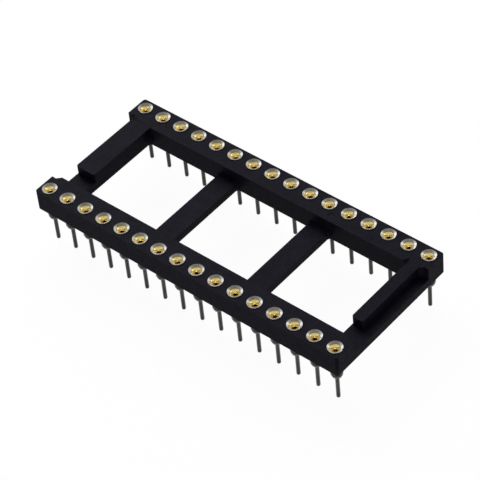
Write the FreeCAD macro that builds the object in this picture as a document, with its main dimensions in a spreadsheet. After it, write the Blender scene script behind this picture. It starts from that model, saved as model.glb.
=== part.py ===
import FreeCAD, Part
import Sketcher
import os
import re

# A 32-way turned-contact DIP socket: an open moulded frame that carries two rows of
# turned sleeves, each with a four-finger spring clip pressed into its bore.
# Millimetres. The origin is the centre of the contact grid, on the board plane where
# the shoulders of the sleeves seat. X runs along the rows, Y across them, Z up.
# Contact 1 is at the left end of the front row (-X, -Y). The numbers run along the
# front row to the right and come back along the rear row.

# Driving sizes, each a cell of the sheet. Everything else is worked out from them.
SIZES = [
    ("pitch", 2.54, "contact spacing along a row"),
    ("row_spacing", 15.24, "distance between the two rows"),
    ("end_margin", 1.10, "end contact to the end of the rail"),
    ("outer_margin", 1.14, "contact line to the outer face of the rail"),
    ("inner_margin", 2.02, "contact line to the window side of the rail"),
    ("stand_height", 1.60, "underside of the moulding above the board"),
    ("rail_height", 2.50, "height of the two rails"),
    ("bar_height", 1.00, "height of the crossbars and end bars"),
    ("end_bar_width", 2.55, "end bar along X"),
    ("crossbar_width", 2.46, "crossbar along X"),
    ("left_setback", 0.73, "left end bar behind the ends of the rails"),
    ("rib_rise", 1.18, "rib above the end bar"),
    ("rib_gap", 2.42, "free end of a rib to the front rail"),
    ("right_rib_width", 1.38, "rib on the right end bar"),
    ("rib_corner", 0.25, "radius at the free end of a rib"),
    ("frame_corner", 0.30, "radius on the outer corners of the frame"),
    ("window_corner", 0.35, "radius in the corners of the windows"),
    ("relief_depth", 0.47, "corner relief into the rail"),
    ("relief_flat", 0.55, "straight length of the corner relief"),
    ("relief_slope", 0.45, "sloped length of the corner relief"),
    ("tail_diameter", 0.44, "solder tail"),
    ("tail_length", 3.20, "solder tail below the board plane"),
    ("tip_diameter", 0.24, "end face of the solder tail"),
    ("tip_length", 0.12, "bevel at the end of the solder tail"),
    ("foot_inset", 0.15, "taper of the foot of the barrel, on the radius"),
    ("foot_height", 0.40, "height of that taper above the board"),
    ("barrel_diameter", 1.30, "barrel of the sleeve"),
    ("head_diameter", 1.66, "head of the sleeve"),
    ("head_proud", 0.10, "head above the top of the rail"),
    ("hole_clearance", 0.01, "sleeve in the moulded hole, on the radius"),
    ("rim_width", 0.06, "flat rim round the lead-in cone of the sleeve"),
    ("lead_in_depth", 0.20, "depth of the lead-in cone"),
    ("bore_diameter", 1.05, "bore of the sleeve"),
    ("bore_depth", 2.60, "straight wall of the bore down from the top of the sleeve"),
    ("drill_point", 0.30, "height of the drilled cone under the bore"),
    ("clip_clearance", 0.01, "clip in the bore, on the radius"),
    ("clip_length", 2.20, "clip from mouth to finger tips"),
    ("clip_wall", 0.05, "strip thickness of the clip"),
    ("collar_length", 0.10, "straight rim of the clip"),
    ("funnel_depth", 0.40, "mouth of the clip to the foot of its funnel"),
    ("funnel_diameter", 0.60, "foot of the funnel"),
    ("slit_start", 0.45, "mouth of the clip to the head of its slits"),
    ("throat_depth", 1.20, "mouth of the clip to its throat"),
    ("throat_diameter", 0.42, "throat between the fingers"),
    ("tip_opening", 0.52, "opening between the finger tips"),
    ("slot_width", 0.10, "slot between two fingers"),
]
ALIASES = [alias for alias, value, meaning in SIZES]

# Counts, which decide how many pieces there are.
WAYS = 16
ROWS = 2
CROSSBARS = 2
CLIP_SIDES = 8

doc = FreeCAD.newDocument("dip_socket")
sheet = doc.addObject("Spreadsheet::Sheet", "Sizes")
for row, (alias, value, meaning) in enumerate(SIZES, start=1):
    sheet.set(f"A{row}", alias)
    sheet.set(f"B{row}", str(value))
    sheet.set(f"C{row}", meaning)
    sheet.setAlias(f"B{row}", alias)
doc.recompute()

# Places shared by several pieces, as formulas in the words of the sheet.
HALF_ROW = f"({WAYS - 1} * pitch / 2)"
RAIL_END = f"({HALF_ROW} + end_margin)"
RAIL_OUTER = "(row_spacing / 2 + outer_margin)"
RAIL_INNER = "(row_spacing / 2 - inner_margin)"
RELIEF_LINE = f"({RAIL_INNER} + relief_depth)"
RELIEF_FLAT_END = f"({RAIL_END} - relief_flat)"
RELIEF_SLOPE_END = f"({RELIEF_FLAT_END} - relief_slope)"
LEFT_BAR_END = f"(-{RAIL_END} + left_setback)"
LEFT_BAR_SIDE = f"({LEFT_BAR_END} + end_bar_width)"
RIGHT_BAR_SIDE = f"({RAIL_END} - end_bar_width)"
WINDOW_SPAN = f"({RIGHT_BAR_SIDE} - {LEFT_BAR_SIDE} - {CROSSBARS} * crossbar_width)"
WINDOW_LENGTH = f"({WINDOW_SPAN} / {CROSSBARS + 1})"
RIB_FRONT = f"(-{RAIL_INNER} + rib_gap)"
BAR_TOP = "(stand_height + bar_height)"
RAIL_TOP = "(stand_height + rail_height)"
HEAD_TOP = f"({RAIL_TOP} + head_proud)"
HEAD_TAPER = "((head_diameter - barrel_diameter) / 2)"
BORE_END = f"({HEAD_TOP} - bore_depth)"
CLIP_TOP = f"({HEAD_TOP} - lead_in_depth)"
CLIP_RADIUS = "(bore_diameter / 2 - clip_clearance)"

FULL_TURN = 360
NEAR = 0.01


def bound(formula):
    """Turn a formula in the words of the sheet into a document expression."""
    return re.sub(
        r"[a-z_]+",
        lambda word: f"Sizes.{word[0]}" if word[0] in ALIASES else word[0],
        formula,
    )


def worked_out(formula):
    """Give the present value of a formula."""
    return float(sheet.evalExpression(bound(formula)))


def origin_feature(body, role):
    """Find a base plane or axis of a body."""
    return next(f for f in body.Origin.OriginFeatures if f.Role == role)


def new_sketch(body, name, role, offset):
    """Add a sketch on a base plane, moved by formulas for its own x, y and z."""
    sketch = body.newObject("Sketcher::SketchObject", name)
    sketch.AttachmentSupport = [(origin_feature(body, role), "")]
    sketch.MapMode = "FlatFace"
    for axis, formula in offset.items():
        sketch.setExpression(f"AttachmentOffset.Base.{axis}", bound(formula))
    return sketch


def add_outline(sketch, corners):
    """Draw a closed outline through corners, each given by two formulas."""
    first = sketch.GeometryCount
    points = [
        FreeCAD.Vector(worked_out(across), worked_out(up), 0) for across, up in corners
    ]
    for start, end in zip(points, points[1:] + points[:1]):
        sketch.addGeometry(Part.LineSegment(start, end), False)
    for i, (across, up) in enumerate(corners):
        following = first + (i + 1) % len(corners)
        sketch.addConstraint(
            Sketcher.Constraint("Coincident", first + i, 2, following, 1)
        )
        for kind, formula in (("DistanceX", across), ("DistanceY", up)):
            place = sketch.addConstraint(
                Sketcher.Constraint(kind, -1, 1, first + i, 1, worked_out(formula))
            )
            sketch.setExpression(f"Constraints[{place}]", bound(formula))


def rectangle(left, right, front, back):
    """List the corners of a rectangle given by formulas."""
    return [(left, front), (right, front), (right, back), (left, back)]


def add_pad(body, name, sketch, length):
    """Pad a sketch upward by a formula."""
    pad = body.newObject("PartDesign::Pad", name)
    pad.Profile = sketch
    pad.setExpression("Length", bound(length))
    sketch.Visibility = False
    return pad


def add_turned(body, kind, name, sketch):
    """Turn a profile round the upright axis of its sketch."""
    turned = body.newObject(f"PartDesign::{kind}", name)
    turned.Profile = sketch
    turned.ReferenceAxis = (sketch, ["V_Axis"])
    turned.Angle = FULL_TURN
    sketch.Visibility = False
    return turned


def rail_corners(side):
    """List the corners of one rail; side is -1 for the front and 1 for the back."""
    inner = f"({side} * {RAIL_INNER})"
    relief = f"({side} * {RELIEF_LINE})"
    outer = f"({side} * {RAIL_OUTER})"
    return [
        (f"-{RAIL_END}", outer),
        (RAIL_END, outer),
        (RAIL_END, relief),
        (RELIEF_FLAT_END, relief),
        (RELIEF_SLOPE_END, inner),
        (f"-{RELIEF_SLOPE_END}", inner),
        (f"-{RELIEF_FLAT_END}", relief),
        (f"-{RAIL_END}", relief),
    ]


def upright_edges(shape, places):
    """Name the vertical edges of a shape that stand at the given places."""
    names = []
    for number, edge in enumerate(shape.Edges, start=1):
        low, high = edge.BoundBox.ZMin, edge.BoundBox.ZMax
        upright = edge.BoundBox.XLength + edge.BoundBox.YLength < high - low
        middle = edge.CenterOfMass
        near = any(
            abs(middle.x - x) < NEAR and abs(middle.y - y) < NEAR for x, y in places
        )
        if upright and near:
            names.append(f"Edge{number}")
    return names


def add_fillet(body, name, places, radius):
    """Round the vertical edges that stand at the given places."""
    doc.recompute()
    base = body.Tip
    fillet = body.newObject("PartDesign::Fillet", name)
    fillet.Base = (base, upright_edges(base.Shape, places))
    fillet.setExpression("Radius", bound(radius))
    doc.recompute()


def make_moulded_body():
    """Mould the frame: two rails, two crossbars, two ribbed end bars and the holes."""
    body = doc.addObject("PartDesign::Body", "moulded_body")
    body.Label = "moulded_body"

    ladder = new_sketch(body, "LadderOutline", "XY_Plane", {"z": "stand_height"})
    bar_meets_relief = (
        f"({RELIEF_LINE} - relief_depth * (left_setback - relief_flat) / relief_slope)"
    )
    add_outline(
        ladder,
        [
            (f"-{RAIL_END}", f"-{RAIL_OUTER}"),
            (RAIL_END, f"-{RAIL_OUTER}"),
            (RAIL_END, RAIL_OUTER),
            (f"-{RAIL_END}", RAIL_OUTER),
            (f"-{RAIL_END}", RELIEF_LINE),
            (f"-{RELIEF_FLAT_END}", RELIEF_LINE),
            (LEFT_BAR_END, bar_meets_relief),
            (LEFT_BAR_END, f"-{bar_meets_relief}"),
            (f"-{RELIEF_FLAT_END}", f"-{RELIEF_LINE}"),
            (f"-{RAIL_END}", f"-{RELIEF_LINE}"),
        ],
    )
    window_places = []
    for place in range(CROSSBARS + 1):
        left = f"({LEFT_BAR_SIDE} + {place} * ({WINDOW_LENGTH} + crossbar_width))"
        right = f"({left} + {WINDOW_LENGTH})"
        window = rectangle(left, right, f"-{RAIL_INNER}", RAIL_INNER)
        add_outline(ladder, window)
        window_places += [(worked_out(x), worked_out(y)) for x, y in window]
    add_pad(body, "Ladder", ladder, "bar_height")
    add_fillet(body, "WindowCorners", window_places, "window_corner")

    rails = new_sketch(body, "RailOutlines", "XY_Plane", {"z": BAR_TOP})
    for side in (-1, 1):
        add_outline(rails, rail_corners(side))
    add_pad(body, "Rails", rails, "rail_height - bar_height")

    ribs = new_sketch(body, "RibOutlines", "XY_Plane", {"z": BAR_TOP})
    for left, right in (
        (LEFT_BAR_END, LEFT_BAR_SIDE),
        (RIGHT_BAR_SIDE, f"({RIGHT_BAR_SIDE} + right_rib_width)"),
    ):
        add_outline(ribs, rectangle(left, right, RIB_FRONT, RELIEF_LINE))
    add_pad(body, "Ribs", ribs, "rib_rise")

    rib_sides = (
        LEFT_BAR_END,
        LEFT_BAR_SIDE,
        RIGHT_BAR_SIDE,
        f"({RIGHT_BAR_SIDE} + right_rib_width)",
    )
    rib_places = [(worked_out(x), worked_out(RIB_FRONT)) for x in rib_sides]
    frame_places = [
        (x * worked_out(RAIL_END), y * worked_out(RAIL_OUTER))
        for x in (-1, 1)
        for y in (-1, 1)
    ]
    add_fillet(body, "RibCorners", rib_places, "rib_corner")
    add_fillet(body, "FrameCorners", frame_places, "frame_corner")

    hole = new_sketch(
        body,
        "HoleProfile",
        "XZ_Plane",
        {"x": f"-{HALF_ROW}", "z": "row_spacing / 2"},
    )
    barrel = "(barrel_diameter / 2 + hole_clearance)"
    mouth = "(head_diameter / 2 + hole_clearance)"
    add_outline(
        hole,
        [
            ("0", "stand_height"),
            (barrel, "stand_height"),
            (barrel, f"({RAIL_TOP} - {HEAD_TAPER})"),
            (mouth, RAIL_TOP),
            ("0", RAIL_TOP),
        ],
    )
    groove = add_turned(body, "Groove", "ContactHole", hole)
    doc.recompute()

    holes = body.newObject("PartDesign::LinearPattern", "ContactHoles")
    holes.Originals = [groove]
    holes.Direction = (origin_feature(body, "X_Axis"), [""])
    holes.setExpression("Length", bound(f"{WAYS - 1} * pitch"))
    holes.Occurrences = WAYS
    holes.Direction2 = (origin_feature(body, "Y_Axis"), [""])
    holes.setExpression("Length2", bound("row_spacing"))
    holes.Occurrences2 = ROWS
    body.Tip = holes
    return body


def put_at_contact(piece, number):
    """Move a piece from the origin to its contact."""
    if number <= WAYS:
        across = f"(-{HALF_ROW} + {number - 1} * pitch)"
        depth = "(-row_spacing / 2)"
    else:
        across = f"({HALF_ROW} - {number - WAYS - 1} * pitch)"
        depth = "(row_spacing / 2)"
    piece.setExpression("Placement.Base.x", bound(across))
    piece.setExpression("Placement.Base.y", bound(depth))


def make_sleeve(number):
    """Turn one sleeve: tail, shoulder, barrel, tapered head, lead-in cone and bore."""
    name = f"contact_sleeve_{number:02d}"
    body = doc.addObject("PartDesign::Body", name)
    body.Label = name
    profile = new_sketch(body, f"SleeveProfile{number:02d}", "XZ_Plane", {})
    add_outline(
        profile,
        [
            ("0", "-tail_length"),
            ("(tip_diameter / 2)", "-tail_length"),
            ("(tail_diameter / 2)", "(-tail_length + tip_length)"),
            ("(tail_diameter / 2)", "0"),
            ("(barrel_diameter / 2 - foot_inset)", "0"),
            ("(barrel_diameter / 2)", "foot_height"),
            ("(barrel_diameter / 2)", f"({RAIL_TOP} - {HEAD_TAPER})"),
            ("(head_diameter / 2)", RAIL_TOP),
            ("(head_diameter / 2)", HEAD_TOP),
            ("(head_diameter / 2 - rim_width)", HEAD_TOP),
            ("(bore_diameter / 2)", CLIP_TOP),
            ("(bore_diameter / 2)", BORE_END),
            ("0", f"({BORE_END} - drill_point)"),
        ],
    )
    add_turned(body, "Revolution", f"Sleeve{number:02d}", profile)
    put_at_contact(body, number)
    return body


def clip_section(body, name, height, radius):
    """Draw one cross-section of the clip, given the circle through its corners."""
    sketch = new_sketch(body, name, "XY_Plane", {"z": height})
    step = FULL_TURN / CLIP_SIDES
    angles = [(place + 0.5) * step for place in range(CLIP_SIDES)]
    corners = [
        (f"({radius} * cos({angle} deg))", f"({radius} * sin({angle} deg))")
        for angle in angles
    ]
    add_outline(sketch, corners)
    sketch.Visibility = False
    return sketch


def make_clip():
    """Form the pattern clip: rim, funnel, throat, and slits that part four fingers."""
    body = doc.addObject("PartDesign::Body", "clip_pattern")
    levels = [
        ("Mouth", CLIP_TOP, f"({CLIP_RADIUS} - clip_wall)"),
        ("Collar", f"({CLIP_TOP} - collar_length)", f"({CLIP_RADIUS} - clip_wall)"),
        ("Funnel", f"({CLIP_TOP} - funnel_depth)", "(funnel_diameter / 2)"),
        ("Throat", f"({CLIP_TOP} - throat_depth)", "(throat_diameter / 2)"),
        ("Tips", f"({CLIP_TOP} - clip_length)", "(tip_opening / 2)"),
    ]
    for kind, side, wall in (
        ("AdditiveLoft", "Outer", "clip_wall"),
        ("SubtractiveLoft", "Inner", "0"),
    ):
        sections = [
            clip_section(body, f"{side}{name}", height, f"({radius} + {wall})")
            for name, height, radius in levels
        ]
        loft = body.newObject(f"PartDesign::{kind}", f"{side}Form")
        loft.Profile = sections[0]
        loft.Sections = sections[1:]
        loft.Ruled = True

    tips = f"({CLIP_TOP} - clip_length)"
    slot = new_sketch(body, "SlotOutline", "XY_Plane", {"z": tips})
    reach = "(bore_diameter / 2)"
    edge = "(slot_width / 2)"
    add_outline(slot, rectangle(f"-{reach}", reach, f"-{edge}", edge))
    cut = body.newObject("PartDesign::Pocket", "Slot")
    cut.Profile = slot
    cut.Reversed = True
    cut.setExpression("Length", bound("clip_length - slit_start"))
    slots = body.newObject("PartDesign::PolarPattern", "Slots")
    slots.Originals = [cut]
    slots.Axis = (origin_feature(body, "Z_Axis"), [""])
    slots.Angle = FULL_TURN / 2
    slots.Occurrences = 2
    body.Tip = slots
    return body


def make_clip_pair(pattern, front):
    """Set the clips of two contacts that face each other, as two separate solids."""
    back = ROWS * WAYS + 1 - front
    clips = []
    for number in (front, back):
        clip = doc.addObject("App::Link", f"clip_{number:02d}")
        clip.LinkedObject = pattern
        clip.LinkTransform = False
        put_at_contact(clip, number)
        clips.append(clip)
    name = f"spring_clips_{front:02d}_{back:02d}"
    pair = doc.addObject("Part::Compound", name)
    pair.Label = name
    pair.Links = clips
    return pair


nodes = [make_moulded_body()]
nodes += [make_sleeve(number) for number in range(1, ROWS * WAYS + 1)]
pattern = make_clip()
nodes += [make_clip_pair(pattern, front) for front in range(1, WAYS + 1)]
doc.recompute()

for thing in doc.Objects:
    if {"Invalid", "Error"} & set(thing.State):
        raise RuntimeError(f"{thing.Label} did not build: {thing.State}")
for node in nodes:
    if node.Shape.isNull() or not node.Shape.isValid():
        raise RuntimeError(f"{node.Label} has no valid shape")

os.makedirs("parts", exist_ok=True)
for node in nodes:
    node.Shape.exportStep(f"parts/{node.Label}.step")
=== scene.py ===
# %% [markdown]
# # A turned-pin IC socket
# The imported model comes in as a fixed frame: the moulding, 32 turned sleeves and 32
# spring clips, all in metres and already in place. Everything made here keeps to that
# frame.

# %% Load the frame
import math
import bpy
from mathutils import Matrix, Vector


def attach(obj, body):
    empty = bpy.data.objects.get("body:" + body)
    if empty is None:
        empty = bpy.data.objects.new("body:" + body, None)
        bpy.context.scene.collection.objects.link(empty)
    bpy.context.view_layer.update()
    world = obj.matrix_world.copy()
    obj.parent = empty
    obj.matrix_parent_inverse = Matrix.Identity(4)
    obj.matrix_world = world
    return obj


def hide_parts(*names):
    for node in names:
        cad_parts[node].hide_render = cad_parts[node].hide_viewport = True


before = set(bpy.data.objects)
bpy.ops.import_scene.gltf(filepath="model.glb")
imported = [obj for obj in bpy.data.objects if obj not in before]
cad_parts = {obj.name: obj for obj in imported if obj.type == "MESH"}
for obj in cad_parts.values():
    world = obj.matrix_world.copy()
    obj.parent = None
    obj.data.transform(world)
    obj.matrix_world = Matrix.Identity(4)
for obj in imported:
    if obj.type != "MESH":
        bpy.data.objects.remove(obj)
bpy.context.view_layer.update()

MM = 0.001

# %% [markdown]
# ## Colour handling and camera
# The photograph is a product shot from about 45 degrees above, with a long lens and a
# slight roll. The numbers come from a pinhole camera fitted to the 32 sleeve heads.
# A bearing, an elevation, a roll and a distance say where the camera stands, and the
# matrix below is built from them, because a track-to constraint couldn't roll.

# %% Set the camera
bpy.context.scene.view_settings.view_transform = "Standard"

LENS_BEARING = math.radians(44.21)
LENS_ELEVATION = math.radians(45.27)
LENS_ROLL = math.radians(6.21)
LENS_TARGET = Vector((2.193, -1.826, 4.2)) * MM
LENS_DISTANCE = 238.16 * MM
LENS_FOCAL = 175.51
SENSOR_WIDTH = 36.0
NEAREST_SEEN = 0.01
FURTHEST_SEEN = 100.0

camera_data = bpy.data.cameras.new("product_camera")
camera_data.sensor_width = SENSOR_WIDTH
camera_data.lens = LENS_FOCAL
camera_data.clip_start = NEAREST_SEEN
camera_data.clip_end = FURTHEST_SEEN
camera = bpy.data.objects.new("product_camera", camera_data)
bpy.context.collection.objects.link(camera)

back = Vector((
    math.sin(LENS_BEARING) * math.cos(LENS_ELEVATION),
    -math.cos(LENS_BEARING) * math.cos(LENS_ELEVATION),
    math.sin(LENS_ELEVATION),
))
level_right = Vector((math.cos(LENS_BEARING), math.sin(LENS_BEARING), 0.0))
level_up = back.cross(level_right)
right = math.cos(LENS_ROLL) * level_right - math.sin(LENS_ROLL) * level_up
up = back.cross(right)
turn = Matrix((right, up, back)).transposed().to_4x4()
camera.matrix_world = Matrix.Translation(LENS_TARGET + back * LENS_DISTANCE) @ turn
bpy.context.scene.camera = camera
print("camera stands at", [round(c, 4) for c in camera.matrix_world.translation])

# %% [markdown]
# ## Helpers for modelling by hand
# Operators act on whatever is selected, so each step starts from nothing selected.
# Edges and faces are picked by their place, the way a click in the viewport would.

# %% Selection helpers
def work_on(piece):
    """Make one piece the only selected and active object."""
    if bpy.context.object and bpy.context.object.mode != "OBJECT":
        bpy.ops.object.mode_set(mode="OBJECT")
    bpy.ops.object.select_all(action="DESELECT")
    piece.select_set(True)
    bpy.context.view_layer.objects.active = piece


def select_none(mesh):
    """Clear the selection of a mesh, in object mode."""
    for part in (mesh.vertices, mesh.edges, mesh.polygons):
        part.foreach_set("select", [False] * len(part))


def pick_edges(piece, wanted):
    """In edit mode, select the edges whose two ends satisfy a test."""
    bpy.ops.object.mode_set(mode="OBJECT")
    mesh = piece.data
    select_none(mesh)
    for edge in mesh.edges:
        a, b = (mesh.vertices[i].co for i in edge.vertices)
        edge.select = wanted(a, b)
    bpy.ops.object.mode_set(mode="EDIT")
    bpy.ops.mesh.select_mode(type="EDGE")


def apply_modifier(piece, kind, **settings):
    """Add a modifier, give it its settings and apply it."""
    work_on(piece)
    modifier = piece.modifiers.new(kind.title(), kind)
    for name, value in settings.items():
        setattr(modifier, name, value)
    bpy.ops.object.modifier_apply(modifier=modifier.name)


# %% A ring-by-ring turning helper
def turn_rings(name, rings, sides, closed=True):
    """Draw a turned form: a circle, extruded and resized from ring to ring."""
    radius, height = rings[0]
    bpy.ops.object.select_all(action="DESELECT")
    bpy.ops.mesh.primitive_circle_add(
        vertices=sides,
        radius=radius * MM,
        fill_type="NGON" if closed else "NOTHING",
        location=(0, 0, height * MM),
    )
    piece = bpy.context.object
    piece.name = piece.data.name = name
    bpy.ops.object.transform_apply(location=True, rotation=True, scale=True)
    bpy.ops.object.mode_set(mode="EDIT")
    bpy.ops.mesh.select_all(action="SELECT")
    for new_radius, new_height in rings[1:]:
        bpy.ops.mesh.extrude_region_move(
            TRANSFORM_OT_translate={"value": (0, 0, (new_height - height) * MM)}
        )
        share = new_radius / radius
        bpy.ops.transform.resize(
            value=(share, share, 1), center_override=(0, 0, new_height * MM)
        )
        radius, height = new_radius, new_height
    return piece


def copy_to(pattern, name, places, smooth_angle):
    """Join copies of a pattern mesh at several places into one new piece."""
    parts = []
    for place in places:
        part = bpy.data.objects.new(name, pattern.data.copy())
        part.data.transform(Matrix.Translation(Vector(place) * MM))
        bpy.context.collection.objects.link(part)
        parts.append(part)
    work_on(parts[0])
    for part in parts[1:]:
        part.select_set(True)
    if len(parts) > 1:
        bpy.ops.object.join()
    piece = bpy.context.object
    piece.name = piece.data.name = name
    bpy.ops.object.shade_smooth_by_angle(angle=smooth_angle)
    return piece


# %% [markdown]
# ## Contact grid
# Contact 1 is at the left end of the front row. The numbers run to the right, then
# come back along the rear row, so contacts n and 33 - n face each other.

# %% Work out the contact places
PITCH = 2.54
ROW_SPACING = 15.24
WAYS = 16


def contact_place(number):
    """Give the place of a contact on the board plane, in millimetres."""
    half_row = (WAYS - 1) * PITCH / 2
    if number <= WAYS:
        return (-half_row + (number - 1) * PITCH, -ROW_SPACING / 2, 0.0)
    return (half_row - (number - WAYS - 1) * PITCH, ROW_SPACING / 2, 0.0)


print("contact 1 at", contact_place(1), "and contact 32 at", contact_place(2 * WAYS))

# %% [markdown]
# ## Turned sleeves
# A screw machine turns each sleeve from brass rod: solder tail, shoulder, barrel,
# tapered head and drilled bore. The tool leaves a small break on the edges of the tail,
# the shoulder and the foot. At the top the lead-in cone runs out to a thin, sharp rim,
# which catches less light than a rounded one would.
# A lathe part could be spun from a profile. Here a circle is extruded and resized ring
# by ring, which keeps each ring easy to name and to bevel. Each ring is a radius and a
# height above the board, in millimetres, from the tip of the tail up the outside and
# down the bore.

# %% Model one sleeve
SLEEVE_RINGS = [
    (0.12, -3.2),
    (0.22, -3.08),
    (0.22, 0.0),
    (0.50, 0.0),
    (0.65, 0.40),
    (0.65, 3.92),
    (0.83, 4.1),
    (0.83, 4.165),
    (0.812, 4.2),
    (0.56, 4.03),
    (0.56, 1.6),
    (0.02, 1.3),
]
SLEEVE_SIDES = 48
SLEEVE_SMOOTHING = math.radians(35)
RING_SLACK = 0.004
BREAK_STEPS = 2
EDGE_BREAKS = (
    (0.50, 0.0, 0.05),
    (0.65, 0.40, 0.04),
    (0.22, -3.08, 0.05),
    (0.22, 0.0, 0.03),
)
sleeve = turn_rings("sleeve_pattern", SLEEVE_RINGS, SLEEVE_SIDES)
bpy.ops.mesh.merge(type="COLLAPSE")
bpy.ops.mesh.select_all(action="SELECT")
bpy.ops.mesh.normals_make_consistent(inside=False)


def on_ring(radius, height):
    """Make a test for edges that run round the axis on one ring."""
    def test(a, b):
        return all(
            abs(p.z / MM - height) < RING_SLACK
            and abs(math.hypot(p.x, p.y) / MM - radius) < RING_SLACK
            for p in (a, b)
        )
    return test


for radius, height, edge_break in EDGE_BREAKS:
    pick_edges(sleeve, on_ring(radius, height))
    bpy.ops.mesh.bevel(offset=edge_break * MM, segments=BREAK_STEPS, affect="EDGES")
bpy.ops.object.mode_set(mode="OBJECT")
print("sleeve pattern has", len(sleeve.data.polygons), "faces")

# %% Set a sleeve at every contact
sleeves = []
for number in range(1, 2 * WAYS + 1):
    piece = copy_to(
        sleeve, f"turned_sleeve_{number:02d}", [contact_place(number)], SLEEVE_SMOOTHING
    )
    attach(piece, "root")
    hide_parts(f"contact_sleeve_{number:02d}")
    sleeves.append(piece)
bpy.data.objects.remove(sleeve)
print("sleeves set:", len(sleeves))

# %% [markdown]
# ## Spring clips
# Each clip is formed from thin strip, plated with gold and pressed into its bore. Its
# mouth is a rounded funnel that leads a pin in; below that it is slit into four fingers
# that close to a throat and open again at their tips. The CAD clip is a light
# eight-sided form, and this one is round. Its funnel is steeper too. The photograph is
# too coarse to show the funnel itself, but the mouths come out closer to it this way.
# The skin is extruded from a circle, four pairs of columns are deleted for the slits,
# and Solidify then gives the strip its thickness. Each ring of the skin is a radius and
# a height from the mouth, in millimetres.

# %% Model one clip
CLIP_TOP = 4.0
CLIP_SIDES = 48
CLIP_WALL = 0.05
CLIP_SKIN = [
    (0.535, 0.010),
    (0.508, -0.018),
    (0.462, -0.065),
    (0.414, -0.116),
    (0.370, -0.169),
    (0.328, -0.226),
    (0.289, -0.285),
    (0.257, -0.343),
    (0.244, -0.395),
    (0.240, -0.50),
    (0.236, -0.80),
    (0.231, -1.15),
    (0.245, -1.50),
    (0.280, -2.165),
]
COLLAR_DEPTH = 0.55
SLITS = 4
CLIP_SMOOTHING = math.radians(40)
clip = turn_rings(
    "clip_pattern",
    [(radius, CLIP_TOP + depth) for radius, depth in CLIP_SKIN],
    CLIP_SIDES,
    closed=False,
)
bpy.ops.object.mode_set(mode="OBJECT")


def in_slit(face):
    """Tell whether a face of the skin lies in one of the four slits."""
    centre = face.center
    if centre.z / MM > CLIP_TOP - COLLAR_DEPTH:
        return False
    quarter = math.tau / SLITS
    bearing = math.atan2(centre.y, centre.x) % quarter
    return min(bearing, quarter - bearing) < math.tau / CLIP_SIDES


select_none(clip.data)
for face in clip.data.polygons:
    face.select = in_slit(face)
bpy.ops.object.mode_set(mode="EDIT")
bpy.ops.mesh.select_mode(type="FACE")
bpy.ops.mesh.delete(type="FACE")
bpy.ops.object.mode_set(mode="OBJECT")
apply_modifier(clip, "SOLIDIFY", thickness=CLIP_WALL * MM, offset=0.0)
work_on(clip)
bpy.ops.object.mode_set(mode="EDIT")
bpy.ops.mesh.select_all(action="SELECT")
bpy.ops.mesh.normals_make_consistent(inside=False)
bpy.ops.object.mode_set(mode="OBJECT")
print("clip pattern has", len(clip.data.polygons), "faces")

# %% Set the clips in facing pairs
clip_pairs = []
for front in range(1, WAYS + 1):
    rear = 2 * WAYS + 1 - front
    piece = copy_to(
        clip,
        f"formed_clips_{front:02d}_{rear:02d}",
        [contact_place(front), contact_place(rear)],
        CLIP_SMOOTHING,
    )
    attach(piece, "root")
    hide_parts(f"spring_clips_{front:02d}_{rear:02d}")
    clip_pairs.append(piece)
bpy.data.objects.remove(clip)
print("clip pairs set:", len(clip_pairs))

# %% [markdown]
# ## The moulded frame
# The frame is one shot of black glass-filled plastic. Its edges are crisp, but no mould
# edge is perfectly sharp, and a hairline of light along them is what makes it read as
# moulded. It could be modelled afresh, but a copy of the CAD mesh, merged into clean
# faces, is sure to fit the sleeves.

# %% Make the frame's mesh from the CAD node
SEAM_GAP = 0.0005
FLAT_ANGLE = math.radians(1)
frame_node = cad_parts["moulded_body"]
moulding = bpy.data.objects.new("frame_moulding", frame_node.data.copy())
moulding.data.name = "frame_moulding"
bpy.context.collection.objects.link(moulding)
work_on(moulding)
bpy.ops.object.mode_set(mode="EDIT")
bpy.ops.mesh.select_all(action="SELECT")
bpy.ops.mesh.remove_doubles(threshold=SEAM_GAP * MM)
bpy.ops.mesh.dissolve_limited(angle_limit=FLAT_ANGLE)
bpy.ops.object.mode_set(mode="OBJECT")
print("merged frame has", len(moulding.data.polygons), "faces")

# %% [markdown]
# In the photograph the top of the rear rail slopes down to each rib, so no step stands
# between them. The CAD solid has a plain step there. A wedge-shaped cutter takes it
# away. The wedge is wider at its top beside the rib, so the side walls of the cut lean
# outward there.

# %% Ramp the rear rail down to the ribs
RAIL_TOP = 4.1
RAIL_FACE = 5.6
RIB_TOP = 3.78
RAMP_END = 6.35
RAMP_FLARE = 0.46
RIB_SPANS = ((-19.42, -16.87), (17.6, 18.98))
CUTTER_OVERLAP = 0.02
CUTTER_RISE = 0.1
SLIVER_GAP = 0.012


def cut_ramp(left, right):
    """Slope the rear rail's top down to a rib, so that no step stands between them."""
    bpy.ops.object.select_all(action="DESELECT")
    bpy.ops.mesh.primitive_cube_add(size=1.0 * MM)
    wedge = bpy.context.object
    near, far = RAIL_FACE - CUTTER_OVERLAP, RAMP_END
    above = RAIL_TOP + CUTTER_RISE
    for corner in wedge.data.vertices:
        on_right, on_far, on_top = (side > 0 for side in corner.co)
        x = right if on_right else left
        if on_top and not on_far:
            x += RAMP_FLARE if on_right else -RAMP_FLARE
        z = above if on_top else (RAIL_TOP if on_far else RIB_TOP)
        corner.co = Vector((x, far if on_far else near, z)) * MM
    apply_modifier(
        moulding, "BOOLEAN", operation="DIFFERENCE", object=wedge, solver="EXACT"
    )
    bpy.data.objects.remove(wedge)


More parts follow.
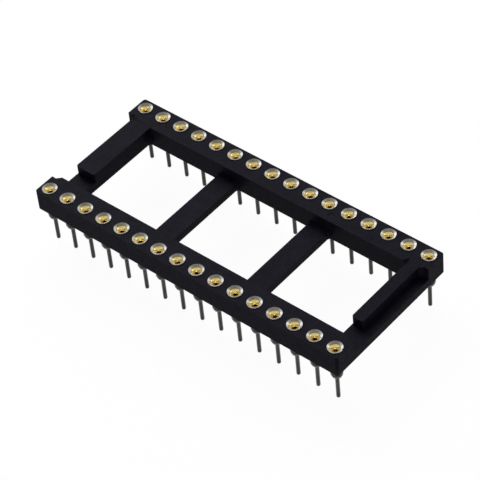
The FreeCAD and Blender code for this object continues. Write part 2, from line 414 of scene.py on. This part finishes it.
for span in RIB_SPANS:
    cut_ramp(*span)
bpy.ops.object.mode_set(mode="EDIT")
bpy.ops.mesh.select_all(action="SELECT")
bpy.ops.mesh.remove_doubles(threshold=SLIVER_GAP * MM)
bpy.ops.mesh.dissolve_limited(angle_limit=FLAT_ANGLE)
bpy.ops.object.mode_set(mode="OBJECT")
print("ramped frame has", len(moulding.data.polygons), "faces")

# %% [markdown]
# The photograph shows a small dark crescent on the rear rail. It is taken for the
# shallow round scar of the gate, where the plastic entered. A flat cylinder with broken
# edges is cut away for it.

# %% Cut the gate scar
SCAR_PLACE = (7.45, 6.42, 4.11)
SCAR_RADIUS = 0.34
SCAR_CUTTER_HEIGHT = 0.1
SCAR_BREAK = 0.015
SCAR_SIDES = 32
bpy.ops.object.select_all(action="DESELECT")
bpy.ops.mesh.primitive_cylinder_add(
    vertices=SCAR_SIDES,
    radius=SCAR_RADIUS * MM,
    depth=SCAR_CUTTER_HEIGHT * MM,
    location=[side * MM for side in SCAR_PLACE],
)
scar = bpy.context.object
bpy.ops.object.mode_set(mode="EDIT")
bpy.ops.mesh.select_all(action="SELECT")
bpy.ops.mesh.bevel(offset=SCAR_BREAK * MM, segments=1, affect="EDGES")
bpy.ops.object.mode_set(mode="OBJECT")
apply_modifier(moulding, "BOOLEAN", operation="DIFFERENCE", object=scar, solver="EXACT")
bpy.data.objects.remove(scar)
print("frame with its gate scar has", len(moulding.data.polygons), "faces")

# %% [markdown]
# Every sharp edge gets a small two-step bevel. Smooth shading over a bevel bends the
# light on the wide flats beside it. Normals weighted by the area of their faces keep
# the flats even, as they are in the photograph.

# %% Break the edges of the frame
EDGE_BREAK = 0.05
SHARP_ANGLE = math.radians(35)
FRAME_SMOOTHING = math.radians(40)
AREA_WEIGHT = 100
apply_modifier(
    moulding,
    "BEVEL",
    width=EDGE_BREAK * MM,
    segments=BREAK_STEPS,
    limit_method="ANGLE",
    angle_limit=SHARP_ANGLE,
    harden_normals=False,
)
work_on(moulding)
bpy.ops.object.shade_smooth_by_angle(angle=FRAME_SMOOTHING)
apply_modifier(
    moulding, "WEIGHTED_NORMAL", mode="FACE_AREA", weight=AREA_WEIGHT, keep_sharp=True
)
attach(moulding, "root")
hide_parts("moulded_body")
print("dressed frame has", len(moulding.data.polygons), "faces")

# %% [markdown]
# ## Effects that several finishes share
# Mottle is the slow change in tone that any real surface has. Tool marks are the fine
# rings that turning and drawing leave round an axis. Both are node groups that put out
# plain values, so each material can use them at its own scale.

# %% Build the shared node groups
NOISE_LOW = 0.3
NOISE_HIGH = 0.7
RING_STRETCH = 0.06


def new_group(name, inputs, outputs):
    """Make a shader node group with named sockets and give its two end nodes."""
    group = bpy.data.node_groups.new(name, "ShaderNodeTree")
    for label, kind, value in inputs:
        socket = group.interface.new_socket(label, in_out="INPUT", socket_type=kind)
        if value is not None:
            socket.default_value = value
    for label, kind in outputs:
        group.interface.new_socket(label, in_out="OUTPUT", socket_type=kind)
    return group, group.nodes.new("NodeGroupInput"), group.nodes.new("NodeGroupOutput")


def build_mottle():
    """Blend two values by a soft noise."""
    group, given, made = new_group(
        "surface_mottle",
        [
            ("Vector", "NodeSocketVector", None),
            ("Scale", "NodeSocketFloat", 1000.0),
            ("Detail", "NodeSocketFloat", 4.0),
            ("Low", "NodeSocketFloat", 0.0),
            ("High", "NodeSocketFloat", 1.0),
        ],
        [("Value", "NodeSocketFloat")],
    )
    noise = group.nodes.new("ShaderNodeTexNoise")
    spread = group.nodes.new("ShaderNodeMapRange")
    spread.inputs["From Min"].default_value = NOISE_LOW
    spread.inputs["From Max"].default_value = NOISE_HIGH
    link = group.links.new
    link(given.outputs["Vector"], noise.inputs["Vector"])
    link(given.outputs["Scale"], noise.inputs["Scale"])
    link(given.outputs["Detail"], noise.inputs["Detail"])
    link(noise.outputs["Fac"], spread.inputs["Value"])
    link(given.outputs["Low"], spread.inputs["To Min"])
    link(given.outputs["High"], spread.inputs["To Max"])
    link(spread.outputs["Result"], made.inputs["Value"])
    return group


def build_tool_marks():
    """Make fine level rings up the axis, as a turning tool leaves them."""
    group, given, made = new_group(
        "tool_marks",
        [
            ("Vector", "NodeSocketVector", None),
            ("Rings per metre", "NodeSocketFloat", 20000.0),
            ("Waver", "NodeSocketFloat", 0.5),
        ],
        [("Height", "NodeSocketFloat")],
    )
    squeeze = group.nodes.new("ShaderNodeMapping")
    squeeze.inputs["Scale"].default_value = (RING_STRETCH, RING_STRETCH, 1.0)
    noise = group.nodes.new("ShaderNodeTexNoise")
    noise.inputs["Detail"].default_value = 3.0
    link = group.links.new
    link(given.outputs["Vector"], squeeze.inputs["Vector"])
    link(squeeze.outputs["Vector"], noise.inputs["Vector"])
    link(given.outputs["Rings per metre"], noise.inputs["Scale"])
    link(given.outputs["Waver"], noise.inputs["Distortion"])
    link(noise.outputs["Fac"], made.inputs["Height"])
    return group


mottle = build_mottle()
tool_marks = build_tool_marks()
print("groups:", mottle.name, tool_marks.name)

# %% Material helpers
def new_material(name):
    """Start a node material with its Principled shader and Object coordinates."""
    material = bpy.data.materials.new(name)
    material.use_nodes = True
    shader = material.node_tree.nodes["Principled BSDF"]
    coordinates = material.node_tree.nodes.new("ShaderNodeTexCoord")
    return material, shader, coordinates.outputs["Object"]


def add_group(material, group, vector, **values):
    """Place a shared group in a material with its own values."""
    node = material.node_tree.nodes.new("ShaderNodeGroup")
    node.node_tree = group
    material.node_tree.links.new(vector, node.inputs["Vector"])
    for label, value in values.items():
        node.inputs[label.replace("_", " ")].default_value = value
    return node.outputs[0]


def add_tint(material, value, dark, light):
    """Turn a value into a colour between two."""
    mix = material.node_tree.nodes.new("ShaderNodeMix")
    mix.data_type = "RGBA"
    mix.inputs["A"].default_value = (*dark, 1.0)
    mix.inputs["B"].default_value = (*light, 1.0)
    material.node_tree.links.new(value, mix.inputs["Factor"])
    return mix.outputs["Result"]


def add_bump(material, shader, height, strength, distance):
    """Raise the surface by a height value."""
    bump = material.node_tree.nodes.new("ShaderNodeBump")
    bump.inputs["Strength"].default_value = strength
    bump.inputs["Distance"].default_value = distance
    material.node_tree.links.new(height, bump.inputs["Height"])
    material.node_tree.links.new(bump.outputs["Normal"], shader.inputs["Normal"])


# %% [markdown]
# ## Black moulding compound
# Glass-filled plastic is near-black with a faint violet cast, matte, and slightly
# uneven in tone where the fibres come near the surface. The side faces show the white
# floor as a faint sheen, so the specular level is low.

# %% Make the moulding's material
black, shader, place = new_material("black_moulding_compound")
link = black.node_tree.links.new
tone = add_group(black, mottle, place, Scale=900.0, Detail=5.0)
tint = add_tint(black, tone, (0.0042, 0.0041, 0.0074), (0.0064, 0.0062, 0.0108))
link(tint, shader.inputs["Base Color"])
haze = add_group(black, mottle, place, Scale=2500.0, Low=0.40, High=0.54)
link(haze, shader.inputs["Roughness"])
shader.inputs["Specular IOR Level"].default_value = 0.018
grain = add_group(black, mottle, place, Scale=9000.0, Detail=3.0)
add_bump(black, shader, grain, strength=0.25, distance=0.00002)
moulding.data.materials.clear()
moulding.data.materials.append(black)
print("moulding finished in", black.name)

# %% [markdown]
# ## Bright tin
# The sleeves carry a thin tin plate over turned brass. The head is bright. The barrel
# and the tail are the same tin, but they look much darker, so the faces under the frame
# take a second, near-black copy of the tin: painted shade for the dark surroundings
# they mirror. Both have fine level tool marks.

# %% Make the sleeves' material
tin, shader, place = new_material("bright_tin_plate")
link = tin.node_tree.links.new
shader.inputs["Metallic"].default_value = 1.0
tone = add_group(tin, mottle, place, Scale=1600.0, Detail=4.0)
tint = add_tint(tin, tone, (0.50, 0.49, 0.46), (0.66, 0.645, 0.61))
link(tint, shader.inputs["Base Color"])
haze = add_group(tin, mottle, place, Scale=3000.0, Low=0.18, High=0.34)
link(haze, shader.inputs["Roughness"])
rings = add_group(tin, tool_marks, place, Rings_per_metre=30000.0)
add_bump(tin, shader, rings, strength=0.15, distance=0.00001)

# A second, near-black copy of the tin: painted shade for the dark surroundings that the
# barrels and tails mirror.
shaded_tin, shader, place = new_material("painted_shade_tin_plate")
link = shaded_tin.node_tree.links.new
shader.inputs["Metallic"].default_value = 1.0
tone = add_group(shaded_tin, mottle, place, Scale=1400.0, Detail=4.0)
tint = add_tint(shaded_tin, tone, (0.024, 0.024, 0.023), (0.042, 0.041, 0.039))
link(tint, shader.inputs["Base Color"])
haze = add_group(shaded_tin, mottle, place, Scale=3000.0, Low=0.24, High=0.36)
link(haze, shader.inputs["Roughness"])
rings = add_group(shaded_tin, tool_marks, place, Rings_per_metre=30000.0)
add_bump(shaded_tin, shader, rings, strength=0.15, distance=0.00001)
# Faces below this height take the painted-shade copy of the tin.
UNDER_FRAME = 3.0
SHADED_TIN_SLOT = 1
for piece in sleeves:
    piece.data.materials.clear()
    piece.data.materials.append(tin)
    piece.data.materials.append(shaded_tin)
    for face in piece.data.polygons:
        if face.center.z / MM < UNDER_FRAME:
            face.material_index = SHADED_TIN_SLOT
print("sleeves finished in", tin.name, "and", shaded_tin.name)

# %% [markdown]
# ## Gold plate
# The clips are bright gold, warmer where the plate is thick and a little rougher where
# the strip was drawn.

# %% Make the clips' material
gold, shader, place = new_material("gold_plate")
link = gold.node_tree.links.new
shader.inputs["Metallic"].default_value = 1.0
tone = add_group(gold, mottle, place, Scale=2200.0, Detail=4.0)
tint = add_tint(gold, tone, (0.95, 0.77, 0.31), (1.00, 0.83, 0.39))
link(tint, shader.inputs["Base Color"])
haze = add_group(gold, mottle, place, Scale=4000.0, Low=0.16, High=0.30)
link(haze, shader.inputs["Roughness"])
rings = add_group(gold, tool_marks, place, Rings_per_metre=26000.0)
add_bump(gold, shader, rings, strength=0.12, distance=0.00001)
for piece in clip_pairs:
    piece.data.materials.clear()
    piece.data.materials.append(gold)
print("clips finished in", gold.name)

# %% [markdown]
# ## Floor, world and lamps
# The photograph's ground is plain white with hardly a shadow. The floor shows an even
# white to camera, mirror and glass rays. A small share of it stays lit paper, which
# keeps a faint shadow. From below the floor is clear, so that the underside can be seen.

# %% Lay the floor
FLOOR_HEIGHT = -3.2
FLOOR_WIDTH = 40.0
PAPER_WHITE = 0.80
GLOW_SHARE = 0.95
bpy.ops.object.select_all(action="DESELECT")
bpy.ops.mesh.primitive_plane_add(size=FLOOR_WIDTH, location=(0, 0, 0))
floor = bpy.context.object
floor.name = floor.data.name = "studio_floor"
floor.data.transform(Matrix.Translation((0, 0, FLOOR_HEIGHT * MM)))
paper = bpy.data.materials.new("white_paper")
paper.use_nodes = True
nodes, link = paper.node_tree.nodes, paper.node_tree.links.new
nodes.clear()
rays = nodes.new("ShaderNodeLightPath")
camera_or_mirror = nodes.new("ShaderNodeMath")
camera_or_mirror.operation = "MAXIMUM"
link(rays.outputs["Is Camera Ray"], camera_or_mirror.inputs[0])
link(rays.outputs["Is Glossy Ray"], camera_or_mirror.inputs[1])
seen = nodes.new("ShaderNodeMath")
seen.operation = "MAXIMUM"
link(camera_or_mirror.outputs[0], seen.inputs[0])
link(rays.outputs["Is Transmission Ray"], seen.inputs[1])
lit = nodes.new("ShaderNodeBsdfDiffuse")
lit.inputs["Color"].default_value = (PAPER_WHITE, PAPER_WHITE, PAPER_WHITE, 1.0)
glow = nodes.new("ShaderNodeEmission")
glow.inputs["Color"].default_value = (1.0, 1.0, 1.0, 1.0)
glow.inputs["Strength"].default_value = 1.0
blend = nodes.new("ShaderNodeMixShader")
share = nodes.new("ShaderNodeMath")
share.operation = "MULTIPLY"
share.inputs[1].default_value = GLOW_SHARE
link(seen.outputs[0], share.inputs[0])
link(share.outputs[0], blend.inputs[0])
link(lit.outputs[0], blend.inputs[1])
link(glow.outputs[0], blend.inputs[2])
side = nodes.new("ShaderNodeNewGeometry")
clear = nodes.new("ShaderNodeBsdfTransparent")
from_below = nodes.new("ShaderNodeMixShader")
link(side.outputs["Backfacing"], from_below.inputs[0])
link(blend.outputs[0], from_below.inputs[1])
link(clear.outputs[0], from_below.inputs[2])
output = nodes.new("ShaderNodeOutputMaterial")
link(from_below.outputs[0], output.inputs["Surface"])
floor.data.materials.append(paper)
print("floor at z =", FLOOR_HEIGHT, "mm")

# %% [markdown]
# The world is paler near the horizon than overhead, so it lights the upright faces more
# and the tops less. The largest softbox stands where the flat tops mirror the camera,
# and gives them their even sheen. The key stands high at the left, and two weak lamps
# fill in lower down, from behind and from the left.

# %% Light the set
HORIZON = 0.45
OVERHEAD = 0.85
HORIZON_STRENGTH = 0.72
OVERHEAD_STRENGTH = 0.24
world = bpy.data.worlds.new("studio_air")
bpy.context.scene.world = world
world.use_nodes = True
nodes, link = world.node_tree.nodes, world.node_tree.links.new
air = nodes["Background"]
sky = nodes.new("ShaderNodeTexCoord")
split = nodes.new("ShaderNodeSeparateXYZ")
fade = nodes.new("ShaderNodeMapRange")
fade.interpolation_type = "SMOOTHSTEP"
fade.inputs["From Min"].default_value = HORIZON
fade.inputs["From Max"].default_value = OVERHEAD
fade.inputs["To Min"].default_value = HORIZON_STRENGTH
fade.inputs["To Max"].default_value = OVERHEAD_STRENGTH
link(sky.outputs["Generated"], split.inputs["Vector"])
link(split.outputs["Z"], fade.inputs["Value"])
air.inputs["Color"].default_value = (1.0, 1.0, 1.0, 1.0)
link(fade.outputs["Result"], air.inputs["Strength"])


AIM = Vector((0, 0, 0.002))
SOFTBOXES = (
    ("key_softbox", (-0.26, 0.10, 0.30), 0.20, 0.65),
    ("back_softbox", (-0.207, 0.213, 0.297), 0.42, 1.5),
    ("rear_softbox", (0.20, 0.34, 0.16), 0.20, 0.12),
    ("left_softbox", (-0.38, 0.02, 0.12), 0.20, 0.12),
)


def add_softbox(name, place, size, power):
    """Stand a square area lamp at a place in metres and point it at the part."""
    lamp = bpy.data.lights.new(name, "AREA")
    lamp.shape = "SQUARE"
    lamp.size = size
    lamp.energy = power
    stand = bpy.data.objects.new(name, lamp)
    stand.location = place
    stand.rotation_euler = (AIM - Vector(place)).to_track_quat("-Z", "Y").to_euler()
    bpy.context.collection.objects.link(stand)


for softbox in SOFTBOXES:
    add_softbox(*softbox)
